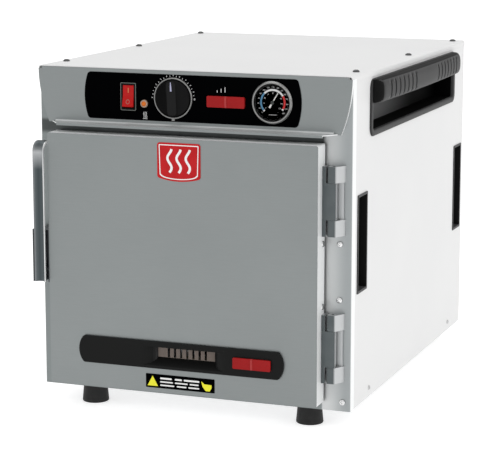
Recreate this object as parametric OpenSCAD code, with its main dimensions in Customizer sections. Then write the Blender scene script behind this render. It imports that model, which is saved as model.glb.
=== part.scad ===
// Countertop food holding cabinet: an insulated steel box for full-size food pans, with a
// right-hinged door, an edge latch, a control console, two humidity vents and side grips.
// Every module is drawn from the middle of the front frame's lower edge (X right, Y into the
// cabinet, Z up) and placed() moves it so that the origin is under the middle of the whole.

/* [Body] */
// Width of the front frame
body_w = 480; // [470:2:520]
// Depth of the body behind the front frame
body_d = 614; // [612:2:660]
// Height of the body above the feet
body_h = 478; // [476:1:486]
// Thickness of the casing sheet
sheet = 1.2; // [1:0.1:1.3]
// Height of the rubber feet
foot_h = 28; // [24:1:40]

/* [Cavity] */
// Clear width between the liner walls
cavity_w = 340; // [334:2:344]
// Clear height of the cavity
cavity_h = 322; // [320:1:324]
// Clear depth of the cavity, to its back wall
cavity_d = 548; // [544:1:550]
// Number of pan levels on each slide
levels = 4; // [3:1:4]
// Height between pan levels
level_pitch = 72; // [68:1:72]

/* [Door] */
// Width of the door
door_w = 414; // [412:1:415]
// Height of the door
door_h = 372; // [370:1:373]
// Thickness of the door, without its gasket
door_t = 30; // [29:1:30]

/* [Console] */
// Width of the black control overlay over its bowed ends
overlay_w = 332; // [328:2:340]
// Height of the control overlay
overlay_h = 67.5; // [66:0.5:68]
// How far the drip ledge under the console stands forward
ledge_reach = 25; // [18:1:26]

/* [Hidden] */
$fn = 48;

// Colours
steel = [0.57, 0.60, 0.60];
white = [0.93, 0.93, 0.92];
black = [0.07, 0.07, 0.07];
dark = [0.27, 0.28, 0.29];
red = [0.78, 0.10, 0.10];
bright = [0.78, 0.79, 0.80];
wool = [0.85, 0.80, 0.62];
amber = [0.95, 0.45, 0.10];
brass = [0.75, 0.62, 0.30];

// Places shared by several modules
half_w = body_w / 2;
panel_x = half_w - sheet;
panel_top = body_h - 4.6;
door_x = -6;
door_z = 12;
door_front = -36;
door_back = door_front + door_t;
door_left = door_x - door_w / 2;
door_right = door_x + door_w / 2;
door_top = door_z + door_h;
cavity_z = 42;
cavity_mid = cavity_z + cavity_h / 2;
cavity_front = 7.2;
cavity_back = cavity_front + cavity_d;
console_z = 396;
console_y = -5;
overlay_y = console_y - 0.8;
overlay_z = 437.5;
switch_x = -95.8;
lamp_x = -72;
lamp_z = 428;
knob_x = -27;
gauge_x = 122.8;
vent_x = 53.8;
vent_z = 435.5;
tab_w = 57;
tab_h = 16;
vent_travel = 12;
duct_y = 60;
grip_y = 315;
grip_z = 424.5;
grip_w = 470;
grip_h = 83;
grip_reach = 22;
pocket_y = [49, 580];
pocket_z = 236.5;
pocket_w = 46;
pocket_h = 142;
foot_x = 170;
foot_y = [26, body_d - 26];
pin_x = 215.5;
pin_y = -11.5;
pin_r = 3;
hinge_z = [303.8, 93];
hinge_h = 99;
knuckle_h = 52;
hinge_screw_z = [241.7, 161.5];
body_half = 13.2;
latch_x = door_left - body_half - 0.02;
latch_z = [162, 240];
lever_z = [163, 371];
pivot_y = -28;
pivot_z = 180;
lever_front = -44;
door_vent_x = -6.5;
door_vent_z = 68;
door_tab_x = 105.3;
door_tab_z = 67.5;
slat_pitch = 9.6;
slat_gap = 3.6;
fan_z = cavity_mid;
back_reach = 3;
face_y = -(body_d + back_reach + lever_front) / 2;

// Outlines
function arc(c, r, a, n = 6) =
    [for (i = [0:n]) c + r * [cos(a[0] + (a[1] - a[0]) * i / n), sin(a[0] + (a[1] - a[0]) * i / n)]];
function rounded(w, h, r, n = 6) = concat(
    arc([w / 2 - r, h / 2 - r], r, [0, 90], n), arc([r - w / 2, h / 2 - r], r, [90, 180], n),
    arc([r - w / 2, r - h / 2], r, [180, 270], n), arc([w / 2 - r, r - h / 2], r, [270, 360], n));
// A plate whose two ends are arcs of the given bow, with small corner radii
function bowed(w, h, bow, r) =
    let (big = (h * h / 4 + bow * bow) / (2 * bow), c = w / 2 - big, b = h / 2 - r)
    let (q = c + sqrt(pow(big - r, 2) - b * b), a = asin(b / (big - r)))
    concat(
        arc([c, 0], big, [-a, a], 10), arc([q, b], r, [a, 90]),
        arc([-q, b], r, [90, 180 - a]), arc([-c, 0], big, [180 - a, 180 + a], 10),
        arc([-q, -b], r, [180 + a, 270]), arc([q, -b], r, [270, 360 - a]));

// Solids along one axis
module placed() { translate([0, face_y, foot_h]) children(); }
module slab(x, y, z) {
    translate([x[0], y[0], z[0]]) cube([x[1] - x[0], y[1] - y[0], z[1] - z[0]]);
}
module along_x(x) { translate([x[0], 0, 0]) rotate([90, 0, 90]) linear_extrude(x[1] - x[0]) children(); }
module along_y(y) { translate([0, y[1], 0]) rotate([90, 0, 0]) linear_extrude(y[1] - y[0]) children(); }
module along_z(z) { translate([0, 0, z[0]]) linear_extrude(z[1] - z[0]) children(); }
module rod_x(r, x, y, z) { translate([x[0], y, z]) rotate([0, 90, 0]) cylinder(r = r, h = x[1] - x[0]); }
module rod_y(r, x, y, z) { translate([x, y[0], z]) rotate([-90, 0, 0]) cylinder(r = r, h = y[1] - y[0]); }
module rod_z(r, x, y, z) { translate([x, y, z[0]]) cylinder(r = r, h = z[1] - z[0]); }
module box2d(x, z) { translate([x[0], z[0]]) square([x[1] - x[0], z[1] - z[0]]); }

// A cross-recess screw with a domed head standing up from z = 0 and its shank below
module domed_screw(head_r, head_h, shank_r, shank_l) {
    slot_w = head_r * 0.28;
    difference() {
        rotate_extrude()
            polygon(concat([[0, 0], [head_r, 0]],
                [for (i = [1:5]) [head_r * cos(18 * i), head_h * (0.25 + 0.75 * sin(18 * i))]]));
        for (a = [0, 90])
            rotate(a) translate([-head_r * 0.55, -slot_w / 2, head_h * 0.45])
                cube([head_r * 1.1, slot_w, head_h]);
    }
    translate([0, 0, -shank_l]) cylinder(r = shank_r, h = shank_l);
}
module facing_front(x, y, z) { translate([x, y, z]) rotate([90, 0, 0]) children(); }
module facing_right(x, y, z) { translate([x, y, z]) rotate([0, 90, 0]) children(); }

// Casing ------------------------------------------------------------------------------------

side_screw_y = [90, 537];
side_screw_z = 13.5;
module side_panel_right() color(white) placed() {
    difference() {
        along_x([panel_x - sheet, panel_x]) box2d([2.8, body_d - 1.4], [0, panel_top]);
        translate([0, grip_y, grip_z])
            along_x([panel_x - 2 * sheet, panel_x + 1]) polygon(rounded(grip_w - 9, grip_h - 9, 10));
        for (y = pocket_y)
            slab([panel_x - 2 * sheet, panel_x + 1], [y - 21.5, y + 21.5],
                [pocket_z - 69.5, pocket_z + 69.5]);
        for (y = side_screw_y) rod_x(2.1, [panel_x - 2 * sheet, panel_x + 1], y, side_screw_z);
    }
    slab([panel_x - 17, panel_x - sheet], [3, body_d - 3], [0, sheet]);
}
module side_panel_left() mirror([1, 0, 0]) side_panel_right();

louvre_count = 15;
module back_panel() color(white) placed() {
    inner = panel_x - sheet - 0.1;
    difference() {
        along_y([body_d - sheet, body_d]) box2d([-panel_x, panel_x], [0, panel_top]);
        for (i = [0:louvre_count - 1])
            slab([-172 + 16 * i, -166 + 16 * i], [body_d - 5, body_d + 1], [412, 452]);
        slab([151, 199], [body_d - 5, body_d + 1], [421, 447]);
        slab([84, 116], [body_d - 5, body_d + 1], [412, 434]);
    }
    for (s = [-1, 1])
        slab([min(s * inner, s * (inner - sheet)), max(s * inner, s * (inner - sheet))],
            [body_d - 11, body_d - sheet], [3, panel_top - 6]);
}

module base_pan() color(steel) placed() {
    edge = panel_x - sheet - 0.4;
    difference() {
        union() {
            slab([-edge, edge], [3, body_d - 3], [sheet + 0.1, 2 * sheet + 0.1]);
            for (s = [-1, 1])
                slab([min(s * edge, s * (edge - sheet)), max(s * edge, s * (edge - sheet))],
                    [3, body_d - 16], [sheet + 0.1, 22]);
        }
        for (x = [-foot_x, foot_x], y = foot_y) rod_z(3.1, x, y, [0, 5]);
        for (y = side_screw_y) rod_x(2.1, [-half_w, half_w], y, side_screw_z);
    }
}

cover_screw_x = 225;
cover_screw_y = [58, 325, 591];
module top_cover() color(white) placed() {
    r = 4;
    outer = concat(
        arc([half_w - r, body_h - r], r, [0, 90]), arc([r - half_w, body_h - r], r, [90, 180]));
    inner = concat(
        arc([r - half_w, body_h - r], r - sheet, [180, 90]),
        arc([half_w - r, body_h - r], r - sheet, [90, 0]));
    difference() {
        union() {
            along_y([console_y + 0.2, body_d]) polygon(concat(
                [[half_w, body_h - 8.5]], outer, [[-half_w, body_h - 8.5], [sheet - half_w, body_h - 8.5]],
                inner, [[half_w - sheet, body_h - 8.5]]));
            slab([-half_w + 3, half_w - 3], [body_d, body_d + sheet], [body_h - 9, body_h]);
        }
        slab([-half_w - 1, -half_w + 6], [console_y - 1, 14.4], [body_h - 9, body_h - 4.5]);
        slab([half_w - 6, half_w + 1], [console_y - 1, 14.4], [body_h - 9, body_h - 4.5]);
        for (x = [-cover_screw_x, cover_screw_x], y = cover_screw_y)
            rod_z(2.1, x, y, [body_h - 5, body_h + 1]);
    }
}

frame_top = body_h - 4.6;
module front_frame() color(steel) placed() {
    r = 2.5;
    profile = concat(
        arc([half_w - r, r], r, [-90, 0]), [[half_w, 14], [panel_x, 14]],
        arc([half_w - r, r], r - sheet, [0, -90]), arc([r - half_w, r], r - sheet, [-90, -180]),
        [[-panel_x, 14], [-half_w, 14]], arc([r - half_w, r], r, [180, 270]));
    difference() {
        union() {
            along_z([0, frame_top]) polygon(profile);
            slab([-panel_x + 18, panel_x - 18], [sheet, 14], [0, sheet]);
            translate([0, 0, cavity_mid]) along_y([sheet / 2, cavity_front - 0.1])
                polygon(rounded(cavity_w + 2 * sheet, cavity_h + 2 * sheet, 8 + sheet));
        }
        translate([0, 0, cavity_mid]) along_y([-1, cavity_front + 1])
            polygon(rounded(cavity_w, cavity_h, 8));
        translate([0, 0, overlay_z]) along_y([-1, sheet + 1]) polygon(rounded(390, 66, 4));
        for (z = hinge_screw_z) rod_y(2.1, 222, [-1, sheet + 1], z);
        rod_y(2.1, 227.4, [-1, sheet + 1], 13.5);
    }
}

// The console face narrows downwards along a parabola
function console_half(z) = half_w - 16 * pow(max(0, (body_h - 1 - z) / (body_h - 1 - console_z)), 2);
console_rows = 12;
console_top = body_h - 1.6;
console_neck = half_w - 5;
function console_edge(inset) = concat(
    [for (i = [0:console_rows])
        let (z = console_z + (frame_top - console_z) * i / console_rows) [console_half(z) - inset, z]],
    [[console_neck - inset, frame_top], [console_neck - inset, console_top]]);
function console_outline(inset) = let (e = console_edge(inset))
    concat(e, [for (i = [len(e) - 1:-1:0]) [-e[i][0], e[i][1]]]);
module console_holes(y) {
    slab([switch_x - 10.3, switch_x + 10.3], y, [overlay_z - 18.3, overlay_z + 18.3]);
    rod_y(4.6, lamp_x, y, lamp_z);
    rod_y(5, knob_x, y, overlay_z);
    slab([vent_x - vent_travel - 4, vent_x + 4], y, [vent_z - 3, vent_z + 3]);
    rod_y(27, gauge_x, y, overlay_z);
}
module console_panel() color(steel) placed() {
    reach = -ledge_reach;
    ledge_half = [console_half(console_z) - 1.5, console_half(console_z) - 21];
    difference() {
        union() {
            along_y([console_y, console_y + sheet]) polygon(console_outline(0));
            along_y([console_y + sheet / 2, -0.1]) difference() {
                polygon(console_outline(0));
                translate([0, -1]) polygon(console_outline(sheet));
            }
            slab([-half_w + 8, half_w - 8], [console_y, 14], [console_top - sheet, console_top]);
            along_z([console_z, console_z + sheet]) polygon([
                [-ledge_half[0], -0.1], [ledge_half[0], -0.1],
                [ledge_half[1], reach], [-ledge_half[1], reach]]);
            slab([-ledge_half[1], ledge_half[1]], [reach, reach + sheet],
                [console_z - 2.5, console_z + sheet]);
            along_x([-ledge_half[1] - 10, ledge_half[1] + 10]) polygon(concat(
                [[console_y, console_z + sheet]],
                arc([console_y - 5, console_z + sheet + 5], 5, [0, -90])));
        }
        console_holes([console_y - 1, console_y + sheet + 1]);
    }
}

module console_overlay() color(black) placed() difference() {
    translate([0, 0, overlay_z]) along_y([overlay_y, console_y - 0.02])
        polygon(bowed(overlay_w, overlay_h, 6, 6));
    console_holes([overlay_y - 1, console_y + 1]);
}

// Cavity ------------------------------------------------------------------------------------

capillary_y = cavity_back - 18;
module cavity_liner() color(bright) placed() {
    wall = [cavity_w + 2 * sheet, cavity_h + 2 * sheet];
    difference() {
        translate([0, 0, cavity_mid]) along_y([cavity_front, cavity_back + sheet])
            polygon(rounded(wall[0], wall[1], 9.2));
        translate([0, 0, cavity_mid]) along_y([cavity_front - 1, cavity_back])
            polygon(rounded(cavity_w, cavity_h, 8));
        rod_z(12, vent_x, duct_y, [cavity_mid, cavity_mid + cavity_h]);
        rod_z(3, knob_x, capillary_y, [cavity_mid, cavity_mid + cavity_h]);
        rod_y(6, 0, [cavity_back - 2, cavity_back + 4], fan_z);
        for (x = [-14, 14]) rod_y(4.6, x, [cavity_back - 2, cavity_back + 4], fan_z - 80.8);
    }
}

module insulation() color(wool) placed() {
    side = [cavity_w / 2 + sheet + 0.4, panel_x - sheet - 2];
    depth = [20, cavity_back + 1];
    low = 24;
    for (s = [0, 1]) mirror([s, 0, 0]) difference() {
        slab(side, [20, body_d - 16], [low, 378]);
        for (y = pocket_y)
            slab([side[1] - 24, side[1] + 1], [y - 26, y + 26], [pocket_z - 74, pocket_z + 74]);
    }
    middle = [-side[0] + 0.6, side[0] - 0.6];
    slab(middle, depth, [low, cavity_z - sheet - 0.4]);
    difference() {
        slab(middle, depth, [cavity_z + cavity_h + sheet + 0.4, 389]);
        rod_z(14.6, vent_x, duct_y, [360, 400]);
        rod_z(3, knob_x, capillary_y, [360, 400]);
    }
    difference() {
        slab(middle, [cavity_back + 1.6, body_d - 6], [low, 378]);
        rod_y(39, 0, [cavity_back, body_d], fan_z);
        for (x = [-14, 14]) rod_y(6, x, [cavity_back, body_d], fan_z - 80.8);
    }
}

module control_shelf() color(bright) placed() difference() {
    union() {
        slab([-204, 204], [16, body_d - 8], [389.4, 389.4 + sheet]);
        for (s = [-1, 1])
            slab([min(s * 204, s * 202.8), max(s * 204, s * 202.8)], [16, body_d - 8], [389.4, 400]);
    }
    rod_z(14.6, vent_x, duct_y, [380, 400]);
    rod_z(3, knob_x, capillary_y, [380, 400]);
}

slide_z = 66;
slide_depth = [30, 520];
ledge_in = 153;
module pan_slide_right() color(bright) placed() {
    wall_x = cavity_w / 2 - 2.2;
    top = slide_z + (levels - 1) * level_pitch + 30;
    difference() {
        slab([wall_x, wall_x + sheet], slide_depth, [slide_z - 14, top]);
        for (i = [0:levels - 1], j = [0:3])
            slab([wall_x - 1, wall_x + 3], [60 + 115 * j, 145 + 115 * j],
                [slide_z + level_pitch * i - 10, slide_z + level_pitch * i - 3]);
    }
    for (i = [0:levels - 1]) {
        z = slide_z + level_pitch * i;
        slab([ledge_in, wall_x + 0.4], slide_depth, [z, z + sheet]);
        slab([ledge_in, ledge_in + sheet], slide_depth, [z - 5, z + sheet]);
    }
    for (y = [70, 480], z = [slide_z - 7, top - 8]) rod_x(5, [wall_x + 0.5, cavity_w / 2 - 0.05], y, z);
}
module pan_slide_left() mirror([1, 0, 0]) pan_slide_right();

baffle_y = cavity_back - 27;
baffle_slot = 3.6;
module rear_baffle() color(bright) placed() difference() {
    union() {
        slab([-158, 158], [baffle_y, baffle_y + sheet], [50, cavity_z + cavity_h - 8]);
        for (s = [-1, 1])
            slab([min(s * 158, s * 156.8), max(s * 158, s * 156.8)], [baffle_y, cavity_back - 0.1],
                [50, cavity_z + cavity_h - 8]);
    }
    for (i = [-6:6]) {
        reach = sqrt(52 * 52 - pow(8 * i, 2));
        slab([-reach, reach], [baffle_y - 1, baffle_y + 3],
            [fan_z + 8 * i - baffle_slot / 2, fan_z + 8 * i + baffle_slot / 2]);
    }
    for (s = [-1, 1], i = [0:17])
        slab([s * 132 - 12, s * 132 + 12], [baffle_y - 1, baffle_y + 3],
            [72 + 15 * i, 72 + baffle_slot + 15 * i]);
}

heater_y = cavity_back - 12;
module heater_element() color(dark) placed() {
    translate([0, heater_y, fan_z]) rotate([90, 0, 0]) rotate_extrude() translate([82, 0]) circle(r = 4);
    for (x = [-14, 14]) rod_y(3.6, x, [heater_y, cavity_back + 24], fan_z - 80.8);
}

fan_back = cavity_back + 4;
module fan_motor() color(dark) placed() {
    difference() {
        union() {
            rod_y(38, 0, [fan_back, fan_back + 40], fan_z);
            rod_y(14, 0, [fan_back + 39, fan_back + 46], fan_z);
        }
        rod_y(3.04, 0, [fan_back - 1, fan_back + 24], fan_z);
    }
}

blade_count = 16;
module fan_wheel() color(bright) placed() {
    disc_y = cavity_back - 6;
    rod_y(56, 0, [disc_y, disc_y + sheet], fan_z);
    rod_y(10, 0, [disc_y - 14, disc_y + 1], fan_z);
    rod_y(3, 0, [disc_y, fan_back + 22], fan_z);
    translate([0, disc_y + 0.5, fan_z]) for (i = [0:blade_count - 1])
        rotate([0, 360 / blade_count * i, 0]) translate([42, -16, 0]) rotate([0, 25, 0])
            translate([-9, 0, -0.6]) cube([18, 16, sheet]);
}

// Controls ----------------------------------------------------------------------------------

module switch_housing() color(dark) placed() difference() {
    union() {
        translate([switch_x, 0, overlay_z]) along_y([overlay_y - 2.6, overlay_y - 0.02])
            polygon(rounded(23.7, 39.6, 1.5));
        slab([switch_x - 10, switch_x + 10], [overlay_y - 1, 24], [overlay_z - 18, overlay_z + 18]);
        for (z = [-12, 0, 12])
            slab([switch_x - 3.2, switch_x + 3.2], [23, 33],
                [overlay_z + z - 0.4, overlay_z + z + 0.4]);
    }
    slab([switch_x - 8.8, switch_x + 8.8], [overlay_y - 4, 10], [overlay_z - 17, overlay_z + 17]);
    rod_x(1.85, [switch_x - 11, switch_x + 11], rocker_y, overlay_z);
}

rocker_y = -2;
rocker_tilt = 8;
module power_rocker() color(red) placed() translate([0, rocker_y, overlay_z]) rotate([-rocker_tilt, 0, 0]) {
    along_x([switch_x - 8.3, switch_x + 8.3]) polygon(concat(
        [[-6.4, -16], [-8.2, -15], [-6.8, 0], [-8.2, 15], [-6.4, 16], [-1.5, 14]],
        arc([0, 0], 5, [60, -60]), [[-1.5, -14]]));
    rod_x(1.8, [switch_x - 9.9, switch_x + 9.9], 0, 0);
}

module indicator_bezel() color(bright) placed()
    translate([lamp_x, overlay_y - 0.02, lamp_z]) rotate([90, 0, 0]) rotate_extrude()
        polygon([[3.8, -14], [4.45, -14], [4.45, 0], [5.8, 0], [5.8, 1], [5, 2.2], [3.8, 2.2]]);

module indicator_lens() color(amber) placed() translate([lamp_x, overlay_y, lamp_z]) rotate([90, 0, 0])
    rotate_extrude() polygon(concat([[0, -10], [3.7, -10], [3.7, 1.4]], arc([0, -0.6], 4.2, [30, 90])));

ring_r = 29.6;
module dial_ring() color(bright) placed() {
    translate([knob_x, overlay_y - 0.02, overlay_z]) rotate([90, 0, 0])
        rotate_extrude() polygon([[27.1, 0], [ring_r, 0], [ring_r, 1],
            [ring_r - 0.5, 1.7], [27.8, 1.7], [27.1, 1]]);
    slab([knob_x - 2.2, knob_x + 2.2], [overlay_y - 1, overlay_y - 0.02],
        [overlay_z - ring_r - 2.6, overlay_z - ring_r + 1]);
}

module thermostat() color(brass) placed() {
    slab([knob_x - 23, knob_x + 23], [3.4, 34], [overlay_z - 20, overlay_z + 20]);
    rod_y(4.8, knob_x, [overlay_y - 1.2, 4], overlay_z);
    rod_y(3, knob_x, [overlay_y - 7, 0], overlay_z);
    rod_y(1.2, knob_x, [33, capillary_y + 1.2], 422);
    rod_z(1.2, knob_x, capillary_y, [330, 422]);
    rod_x(4, [knob_x - 40, knob_x + 40], capillary_y, 330);
}

knob_r = 26.2;
module thermostat_knob() color(black) placed() difference() {
    union() {
        translate([knob_x, overlay_y - 0.3, overlay_z]) rotate([90, 0, 0])
            rotate_extrude()
                polygon([[0, 0], [knob_r, 0], [knob_r, 3.5], [knob_r - 1.4, 5], [12, 6.4], [0, 6.4]]);
        intersection() {
            slab([knob_x - 6.6, knob_x + 6.6], [overlay_y - 11, overlay_y - 5],
                [overlay_z - 26, overlay_z + 26]);
            translate([knob_x, overlay_y - 0.3, overlay_z]) rotate([90, 0, 0])
                rotate_extrude() polygon([[0, 4], [knob_r - 1, 4], [knob_r - 2, 9],
                    [knob_r - 3.4, 10.4], [0, 10.4]]);
        }
    }
    rod_y(3.05, knob_x, [overlay_y - 7.6, overlay_y + 1], overlay_z);
    rod_y(5.2, knob_x, [overlay_y - 1.8, overlay_y + 1], overlay_z);
}

gauge_tilt = 31;
module gauge_case() color(bright) placed() {
    translate([gauge_x, overlay_y - 0.02, overlay_z]) rotate([90, 0, 0]) rotate_extrude()
        polygon([[24.4, -18], [26.6, -18], [26.6, 0], [30.2, 0],
            [30.2, 1.6], [28.6, 3.6], [27.2, 3.6], [26, 2.6],
            [26, 1.2], [24.4, 1.2]]);
    rod_y(25, gauge_x, [-3.6, -2.6], overlay_z);
    rod_y(26.6, gauge_x, [overlay_y + 17, overlay_y + 18.5], overlay_z);
    rod_y(0.8, gauge_x, [-6.6, -3], overlay_z);
}

module gauge_glass() color([0.8, 0.9, 0.95, 0.3]) placed()
    rod_y(25.9, gauge_x, [overlay_y - 2.3, overlay_y - 1.3], overlay_z);

module gauge_needle() color(white) placed() difference() {
    translate([gauge_x, 0, overlay_z]) rotate([0, gauge_tilt, 0]) {
        along_y([-5.4, -4.8])
            polygon([[-0.9, 0], [-0.35, 19], [0.35, 19], [0.9, 0], [1.5, -9], [-1.5, -9]]);
        rod_y(2.6, 0, [-5.6, -4.6], 0);
    }
    rod_y(0.85, gauge_x, [-8, -2], overlay_z);
}

// One slot in the chamber's floor and one in the damper, side by side when the vent is shut
module flue_slot(z) slab([vent_x - vent_travel / 2 + 0.5, vent_x + vent_travel / 2 - 0.5],
    [duct_y - 10, duct_y + 10], z);
duct_base = cavity_z + cavity_h + sheet + 0.05;
module vent_duct() color(bright) placed() {
    difference() {
        union() {
            rod_z(14, vent_x, duct_y, [duct_base, 405]);
            slab([vent_x - 24, vent_x + 24], [duct_y - 20, body_d - 6], [407.2, 434]);
        }
        rod_z(12, vent_x, duct_y, [duct_base - 1, 406]);
        flue_slot([406, 410]);
        slab([vent_x - 22.8, vent_x + 22.8], [duct_y - 18.8, body_d - 5], [408.4, 432.8]);
    }
    for (s = [-1, 1])
        slab([vent_x + s * 26 - 3, vent_x + s * 26 + 3], [duct_y + 80, duct_y + 110], [390.7, 407.4]);
}

module slider_tab(x, y, z) {
    translate([x, 0, z]) {
        along_y([y - 3, y]) polygon(rounded(tab_w, tab_h, 1.6, 3));
        along_y([y - 3.9, y - 2.5]) polygon(rounded(2.2, tab_h - 3, 0.8, 3));
    }
}
module console_vent_slider() color(red) placed() {
    slider_tab(vent_x, overlay_y - 0.3, vent_z);
    slab([vent_x - 3, vent_x + 3], [overlay_y - 1, 24], [vent_z - 2, vent_z + 2]);
}
module console_vent_damper() color(bright) placed() difference() {
    union() {
        slab([vent_x - 4, vent_x + 4], [24.02, 25.4], [405.4, vent_z + 3]);
        slab([vent_x - 4, vent_x + 4], [24.02, duct_y - 16], [405.4, 406.8]);
        slab([vent_x - 16, vent_x + 28], [duct_y - 17, duct_y + 17], [405.4, 406.8]);
    }
    flue_slot([404, 408]);
}

// Side fittings -----------------------------------------------------------------------------

bar_ends = [87, 543];
bar_z = [431, 465];
bar_bulge = 10.4;
module grip_bar() {
    mid = (bar_ends[0] + bar_ends[1]) / 2;
    span = (bar_ends[1] - bar_ends[0]) / 2;
    flat = panel_x + grip_reach - bar_bulge;
    r = 11;
    height = bar_z[1] - bar_z[0];
    crown = [for (i = [-9:9]) let (y = i / 9 * (span - r))
        [flat + bar_bulge * (1 - pow(y / span, 2)), mid + y]];
    difference() {
        intersection() {
            along_z(bar_z) polygon(concat(
                [[panel_x + 1, bar_ends[0]], [flat - r + 1, bar_ends[0]]], crown,
                [[flat - r + 1, bar_ends[1]], [panel_x + 1, bar_ends[1]]]));
            translate([panel_x + 1, 0, bar_z[0]]) along_y([0, body_d]) polygon(concat(
                [[0, 0]], arc([grip_reach - 13, 12], 12, [-90, 0], 8),
                arc([grip_reach - 15, height - 14], 14, [0, 90], 8), [[0, height]]));
        }
        for (s = [-1, 1], i = [0:6])
            slab([panel_x + grip_reach - 8.5, panel_x + 30],
                [mid + s * (64 + 20 * i) - 1.2, mid + s * (64 + 20 * i) + 1.2],
                [bar_z[0] + 6, bar_z[1] - 6]);
    }
}
module grip_right() color(black) placed() {
    translate([0, grip_y, grip_z]) difference() {
        union() {
            along_x([panel_x + 0.02, panel_x + 2.6]) polygon(rounded(grip_w, grip_h, 14));
            along_x([panel_x - 32, panel_x + 1]) polygon(rounded(grip_w - 10, grip_h - 10, 9.5));
        }
        along_x([panel_x - 30, panel_x + 4]) polygon(rounded(grip_w - 14, grip_h - 14, 7.5));
    }
    grip_bar();
    slab([panel_x - 31, panel_x + 2], [grip_y - grip_w / 2 + 12, grip_y + grip_w / 2 - 12],
        [bar_z[0] + 24, bar_z[0] + 29]);
}
module grip_left() mirror([1, 0, 0]) grip_right();

module side_pockets_right() color(dark) placed() for (y = pocket_y) translate([0, y, pocket_z])
    difference() {
    union() {
        along_x([panel_x + 0.02, panel_x + 1.2]) polygon(rounded(pocket_w, pocket_h, 1.5, 3));
        slab([panel_x - 20, panel_x + 0.6], [-21, 21], [-69, 69]);
    }
    slab([panel_x - 18.5, panel_x + 2], [-19.5, 19.5], [-67.5, 67.5]);
}
module side_pockets_left() mirror([1, 0, 0]) side_pockets_right();

stud_z = foot_h * 0.6;
module feet() color(black) placed() for (x = [-foot_x, foot_x], y = foot_y) translate([x, y, 0])
    rotate_extrude() polygon(concat(
        [[3.1, 0], [17.5, 0]], arc([18, 2 - foot_h], 2, [20, -90], 4),
        [[6.6, -foot_h], [6.6, -stud_z], [3.1, -stud_z]]));

module foot_studs() color(bright) placed() for (x = [-foot_x, foot_x], y = foot_y) translate([x, y, 0]) {
    translate([0, 0, -stud_z - 4]) cylinder(r = 5.5, h = 3.98);
    translate([0, 0, -stud_z - 1]) cylinder(r = 3, h = stud_z + 10);
    translate([0, 0, 2 * sheet + 0.15]) cylinder(r = 5.8, h = 5, $fn = 6);
}

module casing_screws() color(black) placed() {
    for (x = [-cover_screw_x, cover_screw_x], y = cover_screw_y)
        translate([x, y, body_h + 0.02]) domed_screw(5, 3.4, 2, 8);
    for (s = [0, 1], y = side_screw_y) mirror([s, 0, 0])
        facing_right(panel_x + 0.02, y, side_screw_z) domed_screw(3.6, 2, 2, 6);
}

// Hinges ------------------------------------------------------------------------------------

frame_screw_x = [222, 222, 227.4];
frame_screw_z = [241.7, 161.5, 13.5];
module hinge_screws() color(bright) placed() for (i = [0:2])
    facing_front(frame_screw_x[i], -0.02, frame_screw_z[i]) domed_screw(4.6, 2.6, 2, 7);

module hinge_base(z) color(dark) placed() {
    low = z - hinge_h / 2;
    high = z + hinge_h / 2;
    gap = knuckle_h / 2 + 0.4;
    for (r = [[low, z - gap], [z + gap, high]]) difference() {
        along_z(r) polygon(concat([[208.4, -0.02], [208.4, -15.5]], arc([210.9, -15.5], 2.5, [180, 270], 4),
            [[219.8, -18], [221, -17], [229.5, -2], [230.5, -0.02]]));
        rod_z(pin_r, pin_x, pin_y, [r[0] - 1, r[1] + 1]);
    }
    difference() {
        slab([208.4, 228.2], [-3.8, -0.02], [z - gap - 0.1, z + gap + 0.1]);
        rod_z(9.2, pin_x, pin_y, [z - gap, z + gap]);
    }
}
module hinge_base_upper() hinge_base(hinge_z[0]);
module hinge_base_lower() hinge_base(hinge_z[1]);

module hinge_pins() color(bright) placed() for (z = hinge_z)
    rod_z(pin_r - 0.01, pin_x, pin_y, [z - hinge_h / 2 + 0.5, z + hinge_h / 2 - 0.5]);

module hinge_leaf(z) color(dark) placed() difference() {
    union() {
        slab([door_right + 0.02, 206.4], [-18, -1.2], [z - hinge_h / 2, z + hinge_h / 2]);
        slab([206, pin_x + 0.1], [-18, -4], [z - knuckle_h / 2, z + knuckle_h / 2]);
        slab([pin_x, 221], [-18, pin_y], [z - knuckle_h / 2, z + knuckle_h / 2]);
        rod_z(5.5, pin_x, pin_y, [z - knuckle_h / 2, z + knuckle_h / 2]);
    }
    rod_z(pin_r + 0.05, pin_x, pin_y, [z - knuckle_h, z + knuckle_h]);
}
module hinge_leaf_upper() hinge_leaf(hinge_z[0]);
module hinge_leaf_lower() hinge_leaf(hinge_z[1]);

// Door --------------------------------------------------------------------------------------

door_screw_y = -12.6;
door_screw_z = [243, 153];
vent_pocket = [[-76, 124], [48, 88]];
module door_skin() color(steel) placed() difference() {
    translate([door_x, 0, door_z + door_h / 2]) along_y([door_front, door_back])
        polygon(rounded(door_w, door_h, 3));
    translate([door_x, 0, door_z + door_h / 2]) along_y([door_front + sheet, door_back + 1])
        polygon(rounded(door_w - 2 * sheet, door_h - 2 * sheet, 1.8));
    slab([-74, 71], [door_front - 1, door_front + 2], [49, 83.6]);
    slab([door_tab_x - 10, door_tab_x + 10], [door_front - 1, door_front + 2],
        [door_tab_z - 3, door_tab_z + 3]);
    for (z = door_screw_z) rod_x(2.1, [door_right - 3, door_right + 1], door_screw_y, z);
}

module door_liner() color(bright) placed() difference() {
    union() {
        slab([door_left + 0.2, door_right - 0.2], [door_back + 0.02, door_back + sheet],
            [door_z + 0.2, door_top - 0.2]);
        slab([-150, 150], [door_back + 1, door_back + 3], [110, 350]);
    }
    for (i = [-3:3]) slab([12 * i - 3, 12 * i + 3], [door_back - 1, door_back + 4], [61, 79]);
}

module door_insulation() color(wool) placed() difference() {
    slab([door_left + 3, door_right - 9], [door_front + sheet + 0.2, door_back - 0.2],
        [door_z + 3, door_top - 3]);
    slab(vent_pocket[0], [door_front, -19], vent_pocket[1]);
    slab([-44, 44], [-20, door_back + 1], [60, 80]);
}

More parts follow.
